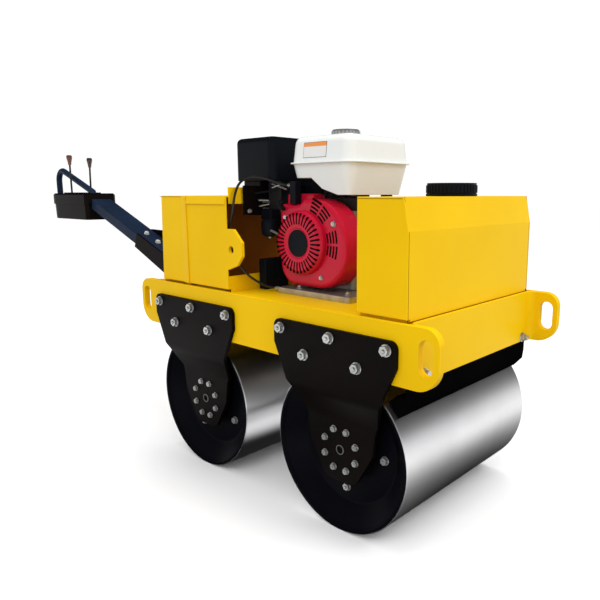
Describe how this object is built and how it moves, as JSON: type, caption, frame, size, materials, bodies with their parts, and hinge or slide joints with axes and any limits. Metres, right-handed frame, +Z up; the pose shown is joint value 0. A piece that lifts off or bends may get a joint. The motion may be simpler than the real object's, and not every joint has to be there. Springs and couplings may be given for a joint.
{
  "type": "walk-behind double-drum roller",
  "caption": "Walk-behind roller with two smooth steel drums, a petrol engine between two tanks and a long steering handle with two levers.",
  "frame": {"origin": "centre of the machine's bounding box in plan, on the ground under the drums", "axes": "+X forwards, away from the handle; +Y to the machine's left; +Z up"},
  "size_m": [2.412, 0.648, 1.021],
  "materials": {
    "yellow_paint": "satin",
    "black_paint": "satin",
    "drum_steel": "smooth, rolled bright",
    "red_paint": "gloss",
    "white_paint": "gloss",
    "cast_alloy": "as cast",
    "black_plastic": "fine grain",
    "zinc": "zinc plated",
    "dark_steel": "matt, heat proof",
    "cast_iron": "machined rim",
    "cable_rubber": "matt"
  },
  "bodies": {
    "chassis": {"air_cleaner": "black_plastic", "belt_guard": "black_paint", "carburettor": "dark_steel", "clutch_pulley": "cast_iron", "control_plate": "black_paint", "cross_members": "black_paint", "deck": "yellow_paint", "engine_block": "cast_alloy", "engine_head": "cast_alloy", "engine_mount": "zinc", "fan_housing": "red_paint", "front_end_panel": "yellow_paint", "front_left_stub_axle": "black_paint", "front_left_support": "black_paint", "front_right_stub_axle": "black_paint", "front_right_support": "black_paint", "front_scraper": "black_paint", "front_water_tank": "yellow_paint", "fuel_cap": "zinc", "fuel_tank": "white_paint", "fuel_tank_feet": "dark_steel", "handle_hinge_ears": "black_paint", "handle_hinge_pin": "zinc", "left_side_beam": "yellow_paint", "lifting_ears": "yellow_paint", "muffler": "dark_steel", "rear_cabinet": "yellow_paint", "rear_end_panel": "yellow_paint", "rear_left_stub_axle": "black_paint", "rear_left_support": "black_paint", "rear_right_stub_axle": "black_paint", "rear_right_support": "black_paint", "rear_scraper": "black_paint", "rear_tank": "yellow_paint", "relay_box": "black_plastic", "right_side_beam": "yellow_paint", "starter_cover": "red_paint", "throttle_block": "dark_steel", "throttle_cable": "cable_rubber", "vibrator_tube": "black_paint", "water_tank_cap": "black_plastic"},
    "front_drum": {"front_drum_ends": "black_paint", "front_drum_shell": "drum_steel"},
    "rear_drum": {"rear_drum_ends": "black_paint", "rear_drum_shell": "drum_steel"},
    "handle": {"control_console": "black_plastic", "handle_arm": "black_paint", "handle_bracket": "black_paint", "handle_loop": "black_paint", "lever_gate": "black_paint", "throttle_lever": "zinc", "travel_lever": "zinc"}
  },
  "joints": [
    {"name": "front_drum_roll", "type": "hinge", "parent": "chassis", "child": "front_drum", "pos_m": [0.9075, 0, 0.213], "axis": [0, 1, 0], "continuous": true},
    {"name": "rear_drum_roll", "type": "hinge", "parent": "chassis", "child": "rear_drum", "pos_m": [0.3405, 0, 0.213], "axis": [0, 1, 0], "continuous": true},
    {"name": "handle_fold", "type": "hinge", "parent": "chassis", "child": "handle", "pos_m": [0.074, 0, 0.458], "axis": [0, 1, 0], "range_deg": [0, 55]}
  ]
}
